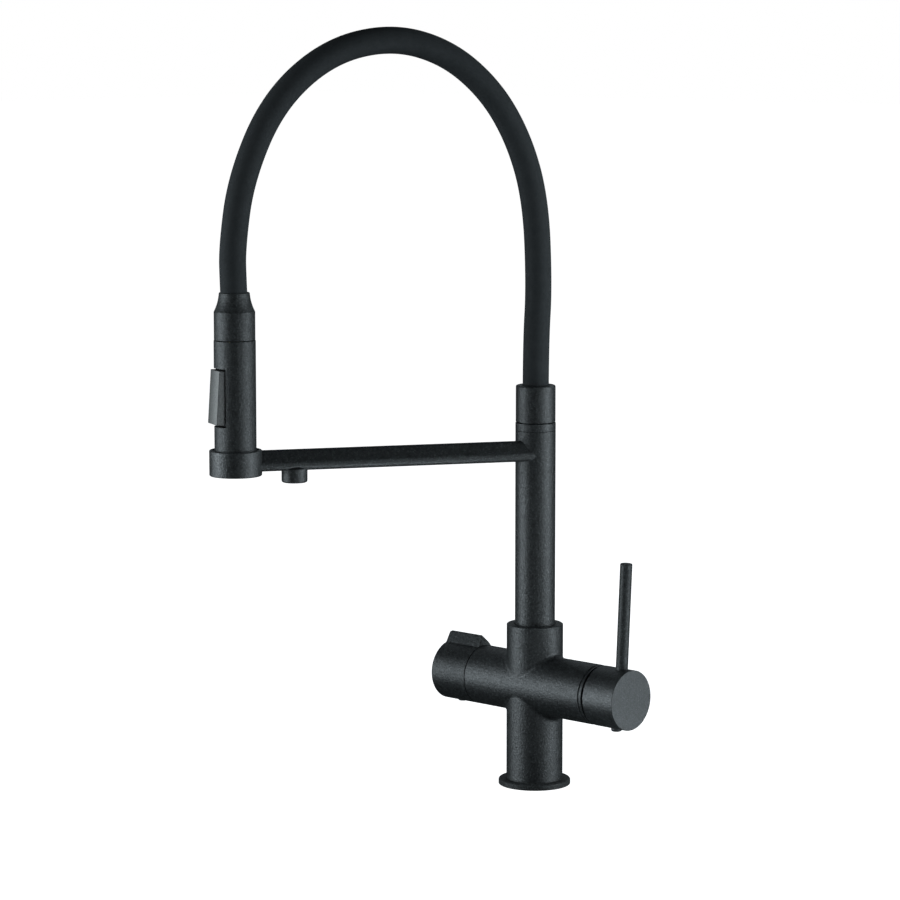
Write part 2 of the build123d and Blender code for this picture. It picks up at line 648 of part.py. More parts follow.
with BuildPart() as swivel_o_rings:
    with BuildSketch(SPOUT_SZ):
        with Locations((11.0, 93.0), (11.0, 101.0)):
            Circle(1.05)
    revolve(axis=Axis.Z)
swivel_o_rings.part.label = "swivel_o_rings"
export_step(swivel_o_rings.part, "parts/swivel_o_rings.step")

arm_vec = S * HEAD_S - N * ARM_OFFSET
ARM_LEN = arm_vec.length
ARM_DIR = arm_vec * (1.0 / ARM_LEN)
ARM_ROOT = N * ARM_OFFSET + UP * ARM_Z
ARM_PLANE = Plane(origin=ARM_ROOT, x_dir=UP, z_dir=ARM_DIR)
ARM_TOP_C = ARM_HALF_H - ARM_TOP_R
ARM_FOOT_C = ARM_FOOT_R - ARM_HALF_H
TUBE_DROP = 2.0            # the filtered-water tube runs low in the arm
TUBE_ROOT = ARM_ROOT - UP * TUBE_DROP

with BuildPart() as riser_tube:
    with BuildSketch(SPOUT_XY.offset(RISER_Z0)):
        Circle(RISER_R)
        Circle(RISER_BORE_R, mode=Mode.SUBTRACT)
    extrude(amount=RISER_Z1 - RISER_Z0)
    chamfer(riser_tube.edges().filter_by(GeomType.CIRCLE).group_by(SortBy.RADIUS)[-1].sort_by(Axis.Z)[-1], 0.25)
    with BuildSketch(ARM_PLANE):
        with Locations((ARM_TOP_C, 0)):
            Circle(ARM_TOP_R - ARM_WALL)
        with Locations((ARM_FOOT_C, ARM_FOOT_N), (ARM_FOOT_C, -ARM_FOOT_N)):
            Circle(ARM_FOOT_R - ARM_WALL)
        make_hull()
    extrude(amount=20.0, mode=Mode.SUBTRACT)
riser_tube.part.label = "riser_tube"
export_step(riser_tube.part, "parts/riser_tube.step")

with BuildPart() as main_water_tube:
    with BuildSketch(SPOUT_XY.offset(116.5)):
        with Locations((0, MAIN_N)):
            Circle(5.0)
            Circle(3.8, mode=Mode.SUBTRACT)
    extrude(amount=246.5 - 116.5)
main_water_tube.part.label = "main_water_tube"
export_step(main_water_tube.part, "parts/main_water_tube.step")

OUTLET_D = OUTLET_S / HEAD_S * ARM_LEN      # distance of the outlet along the arm
OUTLET_C = N * ARM_OFFSET + ARM_DIR * OUTLET_D
SPIGOT2_R = 4.1
with BuildPart() as filter_water_tube:
    with BuildLine() as tube_path:
        FilletPolyline(N * ARM_OFFSET + UP * 118.5, TUBE_ROOT, TUBE_ROOT + ARM_DIR * (OUTLET_D - SPIGOT2_R), radius=9.0)
    with BuildSketch(Plane(origin=N * ARM_OFFSET + UP * 118.5, x_dir=S, z_dir=UP)):
        Circle(3.0)
        Circle(2.0, mode=Mode.SUBTRACT)
    sweep(path=tube_path.wire())
filter_water_tube.part.label = "filter_water_tube"
export_step(filter_water_tube.part, "parts/filter_water_tube.step")

# ---------------------------------------------------------------------------
# Hose base: adapter, collar, nipple
# ---------------------------------------------------------------------------
THREAD_R = 10.6
with BuildPart() as riser_top_adapter:
    with BuildSketch(SPOUT_SZ):
        with BuildLine():
            Polyline((0, 243.6), (RISER_BORE_R, 243.6), (RISER_BORE_R, RISER_Z1), (RISER_R - 0.25, RISER_Z1),
                     (RISER_R, RISER_Z1 + 0.25), (RISER_R, ADAPTER_Z1 - 0.2), (RISER_R - 0.2, ADAPTER_Z1),
                     (11.6, ADAPTER_Z1), (11.6, COLLAR_Z0), (THREAD_R, COLLAR_Z0), (THREAD_R, 268.0), (0, 268.0), close=True)
        make_face()
    revolve(axis=Axis.Z)
    with BuildSketch(SPOUT_XY.offset(243.6)):
        with Locations((0, MAIN_N)):
            Circle(5.0)
    extrude(amount=246.5 - 243.6, mode=Mode.SUBTRACT)
    with BuildSketch(SPOUT_XY.offset(246.5)):
        with Locations((0, MAIN_N)):
            Circle(3.8)
    extrude(amount=4.0, mode=Mode.SUBTRACT)
    with BuildSketch(SPOUT_XY.offset(249.0)):
        Circle(4.2)
    extrude(amount=19.0, mode=Mode.SUBTRACT)
riser_top_adapter.part.label = "riser_top_adapter"
export_step(riser_top_adapter.part, "parts/riser_top_adapter.step")

with BuildPart() as hose_collar:
    with BuildSketch(SPOUT_SZ):
        with BuildLine():
            Polyline((THREAD_R, COLLAR_Z0), (COLLAR_R - 0.3, COLLAR_Z0), (COLLAR_R, COLLAR_Z0 + 0.3),
                     (COLLAR_R, COLLAR_Z1 - 1.0), (COLLAR_R - 0.3, COLLAR_Z1 - 0.3), (COLLAR_R - 1.0, COLLAR_Z1),
                     (HOSE_R + 0.6, COLLAR_Z1),
                     (HOSE_R + 0.1, COLLAR_Z1 - 0.5), (HOSE_R + 0.1, 268.0), (THREAD_R, 268.0), close=True)
        make_face()
    revolve(axis=Axis.Z)
hose_collar.part.label = "hose_collar"
export_step(hose_collar.part, "parts/hose_collar.step")

with BuildPart() as hose_seal:
    with BuildSketch(SPOUT_XY.offset(268.0)):
        Circle(8.2)
        Circle(4.2, mode=Mode.SUBTRACT)
    extrude(amount=1.2)
hose_seal.part.label = "hose_seal"
export_step(hose_seal.part, "parts/hose_seal.step")

with BuildPart() as hose_nipple:
    with BuildSketch(SPOUT_SZ):
        with BuildLine():
            Polyline((2.8, 269.2), (8.8, 269.2), (8.8, HOSE_Z0), (INNER_HOSE_BORE_R, HOSE_Z0), (INNER_HOSE_BORE_R, 287.0),
                     (2.8, 287.0), close=True)
        make_face()
    revolve(axis=Axis.Z)
hose_nipple.part.label = "hose_nipple"
export_step(hose_nipple.part, "parts/hose_nipple.step")

with BuildPart() as hose_base_ferrule:
    with BuildSketch(SPOUT_XY.offset(HOSE_Z0)):
        Circle(7.2)
        Circle(INNER_HOSE_R, mode=Mode.SUBTRACT)
    extrude(amount=14.0)
hose_base_ferrule.part.label = "hose_base_ferrule"
export_step(hose_base_ferrule.part, "parts/hose_base_ferrule.step")

# ---------------------------------------------------------------------------
# Hose: outer sleeve and inner water hose along one route
# ---------------------------------------------------------------------------
route = [S * s + UP * z for s, z in HOSE_ROUTE]
bend_r = []
for i in range(1, len(HOSE_ROUTE) - 1):
    (x0, y0), (x1, y1), (x2, y2) = HOSE_ROUTE[i - 1], HOSE_ROUTE[i], HOSE_ROUTE[i + 1]
    a = hypot(x1 - x0, y1 - y0)
    b = hypot(x2 - x1, y2 - y1)
    turn = abs(atan2((x1 - x0) * (y2 - y1) - (y1 - y0) * (x2 - x1), (x1 - x0) * (x2 - x1) + (y1 - y0) * (y2 - y1)))
    bend_r.append(0.45 * min(a, b) / tan(turn / 2.0))

with BuildPart() as hose_sleeve:
    with BuildLine() as sleeve_path:
        FilletPolyline(*route, radius=bend_r)
    with BuildSketch(SPOUT_XY.offset(HOSE_Z0)):
        Circle(HOSE_R)
        Circle(HOSE_BORE_R, mode=Mode.SUBTRACT)
    sweep(path=sleeve_path.wire())
hose_sleeve.part.label = "hose_sleeve"
export_step(hose_sleeve.part, "parts/hose_sleeve.step")

with BuildPart() as water_hose:
    with BuildLine() as water_path:
        FilletPolyline(*route, radius=bend_r)
    with BuildSketch(SPOUT_XY.offset(HOSE_Z0)):
        Circle(INNER_HOSE_R)
        Circle(INNER_HOSE_BORE_R, mode=Mode.SUBTRACT)
    sweep(path=water_path.wire())
water_hose.part.label = "water_hose"
export_step(water_hose.part, "parts/water_hose.step")

# ---------------------------------------------------------------------------
# Docking arm, dock and filtered-water outlet
# ---------------------------------------------------------------------------
with BuildPart() as docking_arm:
    with BuildSketch(ARM_PLANE):
        with Locations((ARM_TOP_C, 0)):
            Circle(ARM_TOP_R)
        with Locations((ARM_FOOT_C, ARM_FOOT_N), (ARM_FOOT_C, -ARM_FOOT_N)):
            Circle(ARM_FOOT_R)
        make_hull()
    extrude(amount=ARM_LEN)
    with BuildSketch(ARM_PLANE):
        with Locations((ARM_TOP_C, 0)):
            Circle(ARM_TOP_R - ARM_WALL)
        with Locations((ARM_FOOT_C, ARM_FOOT_N), (ARM_FOOT_C, -ARM_FOOT_N)):
            Circle(ARM_FOOT_R - ARM_WALL)
        make_hull()
    extrude(amount=ARM_LEN, mode=Mode.SUBTRACT)
    with BuildSketch(SPOUT_XY.offset(ARM_Z - 10.0)):
        Circle(RISER_R)
        with Locations((HEAD_S, 0)):
            Circle(CUP_R)
    extrude(amount=20.0, mode=Mode.SUBTRACT)
    with BuildSketch(Plane(origin=OUTLET_C + UP * (ARM_Z - 9.0), x_dir=S, z_dir=UP)):
        Circle(SPIGOT2_R)
    extrude(amount=9.0, mode=Mode.SUBTRACT)
docking_arm.part.label = "docking_arm"
export_step(docking_arm.part, "parts/docking_arm.step")

with BuildPart() as dock_ring:
    with BuildSketch(HEAD_RZ):
        with BuildLine():
            Polyline((14.3, CUP_Z0), (CUP_R - 0.5, CUP_Z0), (CUP_R, CUP_Z0 + 0.5), (CUP_R, CUP_Z1 - 0.4),
                     (CUP_R - 0.4, CUP_Z1), (16.2, CUP_Z1), (16.2, 228.3), (14.3, 228.3), close=True)
        make_face()
    revolve(axis=HEAD_AXIS)
dock_ring.part.label = "dock_ring"
export_step(dock_ring.part, "parts/dock_ring.step")

with BuildPart() as dock_liner:
    with BuildSketch(HEAD_RZ):
        with BuildLine():
            Polyline((13.6, 228.3), (16.2, 228.3), (16.2, 244.0), (15.2, 244.0), (14.6, 243.0), (14.6, 232.7),
                     (13.6, 231.3), close=True)
        make_face()
    revolve(axis=HEAD_AXIS)
dock_liner.part.label = "dock_liner"
export_step(dock_liner.part, "parts/dock_liner.step")

OUTLET_XY = Plane(origin=OUTLET_C, x_dir=S, z_dir=UP)
with BuildPart() as filter_outlet:
    with BuildSketch(OUTLET_XY.offset(OUTLET_Z0)):
        Circle(OUTLET_R)
    extrude(amount=231.1 - OUTLET_Z0)
    fillet(filter_outlet.faces().sort_by(Axis.Z)[0].edges(), 1.3)
    fillet(filter_outlet.faces().sort_by(Axis.Z)[-1].edges(), 0.4)
    with BuildSketch(ARM_PLANE.offset(OUTLET_D - 12.0)):
        with Locations((ARM_TOP_C, 0)):
            Circle(ARM_TOP_R)
        with Locations((ARM_FOOT_C, ARM_FOOT_N), (ARM_FOOT_C, -ARM_FOOT_N)):
            Circle(ARM_FOOT_R)
        make_hull()
    extrude(amount=24.0, mode=Mode.SUBTRACT)
    with BuildSketch(OUTLET_XY.offset(226.0)):
        Circle(SPIGOT2_R)
    extrude(amount=ARM_Z + 0.4 - 226.0)
    with BuildSketch(OUTLET_XY.offset(OUTLET_Z0)):
        Circle(6.6)
    extrude(amount=5.6, mode=Mode.SUBTRACT)
    with BuildSketch(OUTLET_XY.offset(OUTLET_Z0 + 5.6)):
        Circle(2.2)
    extrude(amount=ARM_Z - 0.6 - OUTLET_Z0 - 5.6, mode=Mode.SUBTRACT)
    with BuildSketch(Plane(origin=OUTLET_C + UP * (ARM_Z - TUBE_DROP), x_dir=UP, z_dir=ARM_DIR * -1)):
        Circle(1.6)
    extrude(amount=8.0, mode=Mode.SUBTRACT)
filter_outlet.part.label = "filter_outlet"
export_step(filter_outlet.part, "parts/filter_outlet.step")

with BuildPart() as outlet_aerator:
    with BuildSketch(OUTLET_XY.offset(OUTLET_Z0 + 0.5)):
        Circle(6.6)
        with PolarLocations(3.9, 6):
            RegularPolygon(1.55, 6, mode=Mode.SUBTRACT)
        RegularPolygon(1.55, 6, mode=Mode.SUBTRACT)
    extrude(amount=4.4)
outlet_aerator.part.label = "outlet_aerator"
export_step(outlet_aerator.part, "parts/outlet_aerator.step")

# ---------------------------------------------------------------------------
# Hose end: flared nut, swivel connector
# ---------------------------------------------------------------------------
HOSE_END_Z = HOSE_ROUTE[-1][1]
with BuildPart() as hose_nut:
    with BuildSketch(HEAD_RZ):
        with BuildLine():
            l1 = Polyline((12.0, NUT_Z0), (NUT_R - 0.25, NUT_Z0), (NUT_R, NUT_Z0 + 0.25), (NUT_R, 338.5))
            l2 = ThreePointArc((NUT_R, 338.5), (11.8, 343.7), (10.42, 351.0))
            l3 = Polyline((10.42, 351.0), (10.1, NUT_Z1), (HOSE_R + 0.35, NUT_Z1), (HOSE_R + 0.35, HOSE_END_Z),
                          (12.0, HOSE_END_Z), (12.0, NUT_Z0))
        make_face()
    revolve(axis=HEAD_AXIS)
hose_nut.part.label = "hose_nut"
export_step(hose_nut.part, "parts/hose_nut.step")

with BuildPart() as hose_end_connector:
    with BuildSketch(HEAD_RZ):
        with BuildLine():
            Polyline((2.8, 301.0), (6.0, 301.0), (6.0, 304.8), (4.6, 304.8), (4.6, 307.2), (6.0, 307.2), (6.0, 321.0),
                     (12.0, 321.0), (12.0, HOSE_END_Z), (INNER_HOSE_BORE_R, HOSE_END_Z), (INNER_HOSE_BORE_R, 341.0),
                     (2.8, 341.0), close=True)
        make_face()
    revolve(axis=HEAD_AXIS)
hose_end_connector.part.label = "hose_end_connector"
export_step(hose_end_connector.part, "parts/hose_end_connector.step")

with BuildPart() as hose_end_ferrule:
    with BuildSketch(HEAD_XY.offset(HOSE_END_Z)):
        Circle(7.2)
        Circle(INNER_HOSE_R + 0.2, mode=Mode.SUBTRACT)
    extrude(amount=14.0)
hose_end_ferrule.part.label = "hose_end_ferrule"
export_step(hose_end_ferrule.part, "parts/hose_end_ferrule.step")

with BuildPart() as connector_o_ring:
    with BuildSketch(HEAD_RZ):
        with Locations((5.3, 306.0)):
            Circle(0.7)
    revolve(axis=HEAD_AXIS)
connector_o_ring.part.label = "connector_o_ring"
export_step(connector_o_ring.part, "parts/connector_o_ring.step")

# ---------------------------------------------------------------------------
# Spray head
# ---------------------------------------------------------------------------
WIN_Z0, WIN_Z1 = 261.0, 300.7
with BuildPart() as spray_shell:
    with BuildSketch(HEAD_RZ):
        with BuildLine():
            Polyline((SHELL_BORE_R, 234.2), (SHELL_BORE_R, SHELL_Z1), (SHELL_R - 0.25, SHELL_Z1), (SHELL_R, SHELL_Z1 - 0.25),
                     (SHELL_R, 232.75), (13.2, 231.35), (13.2, 229.2), (12.9, 228.9), (12.2, 228.9), (12.2, 234.2), close=True)
        make_face()
    revolve(axis=HEAD_AXIS)
    with BuildSketch(ROCK_SZ):
        with Locations((12.5, (WIN_Z0 + WIN_Z1) / 2)):
            Rectangle(12.0, WIN_Z1 - WIN_Z0)
    extrude(amount=ROCKER_HALF_W + ROCKER_GAP, both=True, mode=Mode.SUBTRACT)
spray_shell.part.label = "spray_shell"
export_step(spray_shell.part, "parts/spray_shell.step")

WATER_S = -4.6
with BuildPart() as spray_core:
    with BuildSketch(HEAD_XY.offset(240.0)):
        Circle(SHELL_BORE_R)
    extrude(amount=314.0 - 240.0)
    # pocket behind the rocker and the slot for its lug
    with BuildSketch(ROCK_SZ):
        with Locations((12.4, (WIN_Z0 + WIN_Z1) / 2)):
            Rectangle(10.4, WIN_Z1 - WIN_Z0)
    extrude(amount=ROCKER_HALF_W + ROCKER_GAP, both=True, mode=Mode.SUBTRACT)
    with BuildSketch(ROCK_SZ):
        with Locations((5.6, ROCKER_PIVOT_Z)):
            Rectangle(4.0, 7.0)
    extrude(amount=3.4, both=True, mode=Mode.SUBTRACT)
    with BuildSketch(Plane(origin=HEAD + RS * ROCKER_PIVOT_S + UP * ROCKER_PIVOT_Z - RN * 8.0, x_dir=RS, z_dir=RN)):
        Circle(1.2)
    extrude(amount=16.0, mode=Mode.SUBTRACT)
    # inlet socket, check valve seat, water way to the spool
    with BuildSketch(HEAD_XY.offset(299.8)):
        Circle(6.06)
    extrude(amount=14.2, mode=Mode.SUBTRACT)
    with BuildSketch(ROCK_XY.offset(291.0)):
        with Locations((WATER_S, 0)):
            Circle(4.2)
    extrude(amount=9.0, mode=Mode.SUBTRACT)
    with BuildSketch(ROCK_XY.offset(268.0)):
        with Locations((WATER_S, 0)):
            Circle(2.6)
    extrude(amount=24.0, mode=Mode.SUBTRACT)
    # spool bore, centre way to the aerator, ring way to the nozzles
    with BuildSketch(Plane(origin=HEAD + RS * 7.4 + UP * 270.0, x_dir=UP, z_dir=RS * -1)):
        Circle(3.3)
    extrude(amount=17.0, mode=Mode.SUBTRACT)
    with BuildSketch(HEAD_XY.offset(240.0)):
        Circle(2.6)
    extrude(amount=30.0, mode=Mode.SUBTRACT)
    with BuildSketch(ROCK_XY.offset(240.0)):
        with Locations((-9.2, 0)):
            Circle(1.4)
    extrude(amount=30.0, mode=Mode.SUBTRACT)
spray_core.part.label = "spray_core"
export_step(spray_core.part, "parts/spray_core.step")

with BuildPart() as check_valve:
    with BuildSketch(ROCK_XY.offset(291.0)):
        with Locations((WATER_S, 0)):
            Circle(4.2)
            Circle(2.4, mode=Mode.SUBTRACT)
    extrude(amount=7.0)
check_valve.part.label = "check_valve"
export_step(check_valve.part, "parts/check_valve.step")

NOZZLE_RINGS = [(10.4, 20), (8.3, 14)]
with BuildPart() as spray_plate:
    with BuildSketch(HEAD_XY.offset(229.7)):
        Circle(12.2)
        Circle(6.2, mode=Mode.SUBTRACT)
        for ring_r, count in NOZZLE_RINGS:
            with PolarLocations(ring_r, count):
                Circle(0.65, mode=Mode.SUBTRACT)
    extrude(amount=2.0)
spray_plate.part.label = "spray_plate"
export_step(spray_plate.part, "parts/spray_plate.step")

with BuildPart() as nozzle_pad:
    with BuildSketch(HEAD_XY.offset(231.7)):
        Circle(12.2)
        Circle(6.9, mode=Mode.SUBTRACT)
    extrude(amount=1.5)
    with BuildSketch(HEAD_XY.offset(229.0)):
        for ring_r, count in NOZZLE_RINGS:
            with PolarLocations(ring_r, count):
                Circle(0.65)
    extrude(amount=2.7)
nozzle_pad.part.label = "nozzle_pad"
export_step(nozzle_pad.part, "parts/nozzle_pad.step")

with BuildPart() as spray_aerator:
    with BuildSketch(HEAD_XY.offset(229.7)):
        Circle(6.2)
        with PolarLocations(3.5, 6):
            RegularPolygon(1.4, 6, mode=Mode.SUBTRACT)
        RegularPolygon(1.4, 6, mode=Mode.SUBTRACT)
    extrude(amount=4.0)
    with BuildSketch(HEAD_XY.offset(233.7)):
        Circle(6.2)
        Circle(4.4, mode=Mode.SUBTRACT)
    extrude(amount=240.0 - 233.7)
spray_aerator.part.label = "spray_aerator"
export_step(spray_aerator.part, "parts/spray_aerator.step")

with BuildPart() as rocker_pin:
    with BuildSketch(Plane(origin=HEAD + RS * ROCKER_PIVOT_S + UP * ROCKER_PIVOT_Z - RN * 8.0, x_dir=RS, z_dir=RN)):
        Circle(1.2)
    extrude(amount=16.0)
rocker_pin.part.label = "rocker_pin"
export_step(rocker_pin.part, "parts/rocker_pin.step")

# rocker: pad, lug on the pin and a nub that works the spool; drawn at mid throw, then laid at its rest tilt
ROCKER_RZ = Plane(
    origin=HEAD + RS * ROCKER_PIVOT_S + UP * ROCKER_PIVOT_Z,
    x_dir=RS * cos(radians(ROCKER_REST_DEG)) + UP * sin(radians(ROCKER_REST_DEG)),
    z_dir=RN * -1,
)
PAD_BACK = 9.8 - ROCKER_PIVOT_S
PAD_FACE = ROCKER_FACE - ROCKER_PIVOT_S
with BuildPart() as spray_rocker:
    with BuildSketch(ROCKER_RZ):
        with Locations(((PAD_BACK + PAD_FACE) / 2, 0)):
            Rectangle(PAD_FACE - PAD_BACK, 2 * ROCKER_HALF_H)
    extrude(amount=ROCKER_HALF_W, both=True)
    fillet(spray_rocker.edges(), 0.5)
    with BuildSketch(ROCKER_RZ):
        with Locations((PAD_BACK / 2 - 0.6, 0)):
            Rectangle(PAD_BACK + 1.4, 4.4)
    extrude(amount=3.1, both=True)
    with BuildSketch(ROCKER_RZ):
        with Locations((PAD_BACK - 0.5, 270.0 - ROCKER_PIVOT_Z)):
            Rectangle(1.6, 3.0)
    extrude(amount=1.6, both=True)
    with BuildSketch(Plane(origin=HEAD + RS * ROCKER_PIVOT_S + UP * ROCKER_PIVOT_Z - RN * 4.0, x_dir=RS, z_dir=RN)):
        Circle(1.26)
    extrude(amount=8.0, mode=Mode.SUBTRACT)
spray_rocker.part.label = "spray_rocker"
export_step(spray_rocker.part, "parts/spray_rocker.step")

with BuildPart() as diverter_spool:
    with BuildSketch(Plane(origin=HEAD + RS * 8.8 + UP * 270.0, x_dir=UP, z_dir=RS * -1)):
        Circle(3.25)
    extrude(amount=4.0)
    with BuildSketch(Plane(origin=HEAD + RS * 4.8 + UP * 270.0, x_dir=UP, z_dir=RS * -1)):
        Circle(1.9)
    extrude(amount=4.6)
    with BuildSketch(Plane(origin=HEAD + RS * 0.2 + UP * 270.0, x_dir=UP, z_dir=RS * -1)):
        Circle(3.25)
    extrude(amount=2.4)
    with BuildSketch(Plane(origin=HEAD - RS * 2.2 + UP * 270.0, x_dir=UP, z_dir=RS * -1)):
        Circle(1.9)
    extrude(amount=2.6)
    with BuildSketch(Plane(origin=HEAD - RS * 4.8 + UP * 270.0, x_dir=UP, z_dir=RS * -1)):
        Circle(3.25)
    extrude(amount=1.8)
diverter_spool.part.label = "diverter_spool"
export_step(diverter_spool.part, "parts/diverter_spool.step")
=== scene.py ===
import json
import math

import bmesh
import bpy
from mathutils import Matrix, Vector


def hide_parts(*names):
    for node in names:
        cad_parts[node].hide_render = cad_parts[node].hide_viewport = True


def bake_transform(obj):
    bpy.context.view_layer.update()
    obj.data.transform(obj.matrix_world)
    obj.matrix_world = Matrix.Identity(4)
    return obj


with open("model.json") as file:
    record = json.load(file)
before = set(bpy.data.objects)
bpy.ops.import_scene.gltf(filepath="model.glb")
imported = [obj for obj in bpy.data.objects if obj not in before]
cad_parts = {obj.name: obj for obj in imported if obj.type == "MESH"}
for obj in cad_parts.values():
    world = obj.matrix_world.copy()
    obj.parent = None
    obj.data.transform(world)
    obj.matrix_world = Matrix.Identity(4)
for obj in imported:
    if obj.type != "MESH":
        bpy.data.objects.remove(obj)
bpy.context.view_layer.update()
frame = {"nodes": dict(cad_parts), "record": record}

NODES = frame["nodes"]
scene = bpy.context.scene
coll = scene.collection

# spout frame: S runs along the docking arm, N is level and square to it
SWIVEL = math.radians(29.4)
S = Vector((-math.sin(SWIVEL), -math.cos(SWIVEL), 0.0))
N = Vector((math.cos(SWIVEL), -math.sin(SWIVEL), 0.0))
UP = Vector((0.0, 0.0, 1.0))
HEAD = S * 0.21415


def at(s, z, n=0.0):
    return S * s + N * n + UP * z


# ---------------------------------------------------------------------------
# Materials
# ---------------------------------------------------------------------------
class Mat:
    """One node material; short helpers keep the graphs below readable."""

    def __init__(self, name):
        self.m = bpy.data.materials.new(name)
        self.m.use_nodes = True
        self.t = self.m.node_tree
        self.t.nodes.clear()
        self.out = self.t.nodes.new("ShaderNodeOutputMaterial")
        self.p = self.t.nodes.new("ShaderNodeBsdfPrincipled")
        self.t.links.new(self.p.outputs[0], self.out.inputs["Surface"])
        self.co = self.t.nodes.new("ShaderNodeTexCoord").outputs["Object"]

    def link(self, a, b):
        self.t.links.new(a, b)

    def set(self, **kw):
        for k, v in kw.items():
            self.p.inputs[k.replace("_", " ")].default_value = v
        return self

    def noise(self, scale, detail=2.0, rough=0.5, co=None):
        n = self.t.nodes.new("ShaderNodeTexNoise")
        n.inputs["Scale"].default_value = scale
        n.inputs["Detail"].default_value = detail
        n.inputs["Roughness"].default_value = rough
        self.link(co or self.co, n.inputs["Vector"])
        return n.outputs["Fac"]

    def stretch(self, x, y, z):
        n = self.t.nodes.new("ShaderNodeMapping")
        n.inputs["Scale"].default_value = (x, y, z)
        self.link(self.co, n.inputs["Vector"])
        return n.outputs["Vector"]

    def ramp(self, fac, stops, ease="LINEAR"):
        n = self.t.nodes.new("ShaderNodeValToRGB")
        n.color_ramp.interpolation = ease
        e = n.color_ramp.elements
        while len(e) < len(stops):
            e.new(0.5)
        for i, (pos, c) in enumerate(stops):
            e[i].position = pos
            e[i].color = (c, c, c, 1.0) if isinstance(c, (int, float)) else (*c, 1.0)
        self.link(fac, n.inputs["Fac"])
        return n.outputs["Color"]

    def mix(self, fac, a, b, mode="MIX"):
        n = self.t.nodes.new("ShaderNodeMix")
        n.data_type = "RGBA"
        n.blend_type = mode
        for sock, v in ((n.inputs[0], fac), (n.inputs[6], a), (n.inputs[7], b)):
            if isinstance(v, (int, float)):
                sock.default_value = v
            elif isinstance(v, tuple):
                sock.default_value = (*v, 1.0)
            else:
                self.link(v, sock)
        return n.outputs[2]

    def color(self, sock):
        self.link(sock, self.p.inputs["Base Color"])
        return self

    def rough(self, sock):
        self.link(sock, self.p.inputs["Roughness"])
        return self

    def bump(self, height, strength, distance):
        n = self.t.nodes.new("ShaderNodeBump")
        n.inputs["Strength"].default_value = strength
        n.inputs["Distance"].default_value = distance
        self.link(height, n.inputs["Height"])
        self.link(n.outputs[0], self.p.inputs["Normal"])
        return self


def coat(name, dark, mid, fleck, rough_lo, rough_hi, gloss=0.5):
    """Speckled powder coat: cloudy charcoal ground, fine grain and scattered pale flecks."""
    m = Mat(name)
    cloud = m.ramp(m.noise(420.0, 3.0, 0.6), [(0.30, dark), (0.72, mid)])
    grain = m.ramp(m.noise(640.0, 2.0, 0.6), [(0.36, 0.4), (0.66, 1.9)])
    ground = m.mix(1.0, cloud, grain, "MULTIPLY")
    specks = m.ramp(m.noise(860.0, 1.0, 0.5), [(0.59, 0.0), (0.75, 1.0)])
    m.color(m.mix(specks, ground, fleck))
    m.rough(m.ramp(m.noise(760.0, 2.0, 0.6), [(0.3, rough_hi), (0.7, rough_lo)]))
    m.bump(m.noise(680.0, 4.0, 0.65), 0.78, 0.0004)
    m.set(Specular_IOR_Level=gloss)
    return m.m


def plastic(name, a, b, rough, grain=1800.0, bump=0.08):
    m = Mat(name)
    m.color(m.ramp(m.noise(260.0, 3.0, 0.6), [(0.3, a), (0.7, b)]))
    m.rough(m.ramp(m.noise(900.0, 2.0), [(0.3, rough + 0.05), (0.7, rough - 0.05)]))
    m.bump(m.noise(grain, 2.0), bump, 0.0001)
    return m.m


def metal(name, a, b, rough, stretch=(1.0, 1.0, 14.0)):
    m = Mat(name)
    m.set(Metallic=1.0)
    lines = m.noise(700.0, 3.0, 0.6, m.stretch(*stretch))
    m.color(m.ramp(lines, [(0.3, a), (0.7, b)]))
    m.rough(m.ramp(lines, [(0.3, rough + 0.08), (0.7, rough - 0.06)]))
    m.bump(lines, 0.1, 0.0001)
    return m.m


CHARCOAL = ((0.0070, 0.0078, 0.0079), (0.0155, 0.0172, 0.0174), (0.056, 0.061, 0.061))
COAT = coat("granite_coat", *CHARCOAL, 0.38, 0.55)
CAP_COAT = coat("cap_coat", *CHARCOAL, 0.38, 0.55, 0.66)
BODY_COAT = coat("body_coat", *CHARCOAL, 0.38, 0.55, 0.54)
KNOB_COAT = coat("knob_coat", *CHARCOAL, 0.38, 0.55, 0.43)
CUP_COAT = coat("cup_coat", *CHARCOAL, 0.38, 0.54, 0.57)
LEVER_COAT = coat("lever_coat", *CHARCOAL, 0.38, 0.52, 0.34)
FLANGE_COAT = coat("flange_coat", *CHARCOAL, 0.58, 0.74, 0.54)
HEAD_COAT = coat("head_coat", (0.0085, 0.0094, 0.0094), (0.0180, 0.0198, 0.0199), (0.056, 0.061, 0.061), 0.44, 0.60)
BY_NODE = {
    "spray_shell": HEAD_COAT, "hose_nut": HEAD_COAT, "handle_cap": CAP_COAT, "handle_lever": LEVER_COAT,
    "dock_ring": CUP_COAT, "base_flange": FLANGE_COAT, "valve_body": BODY_COAT, "filter_knob": KNOB_COAT,
}


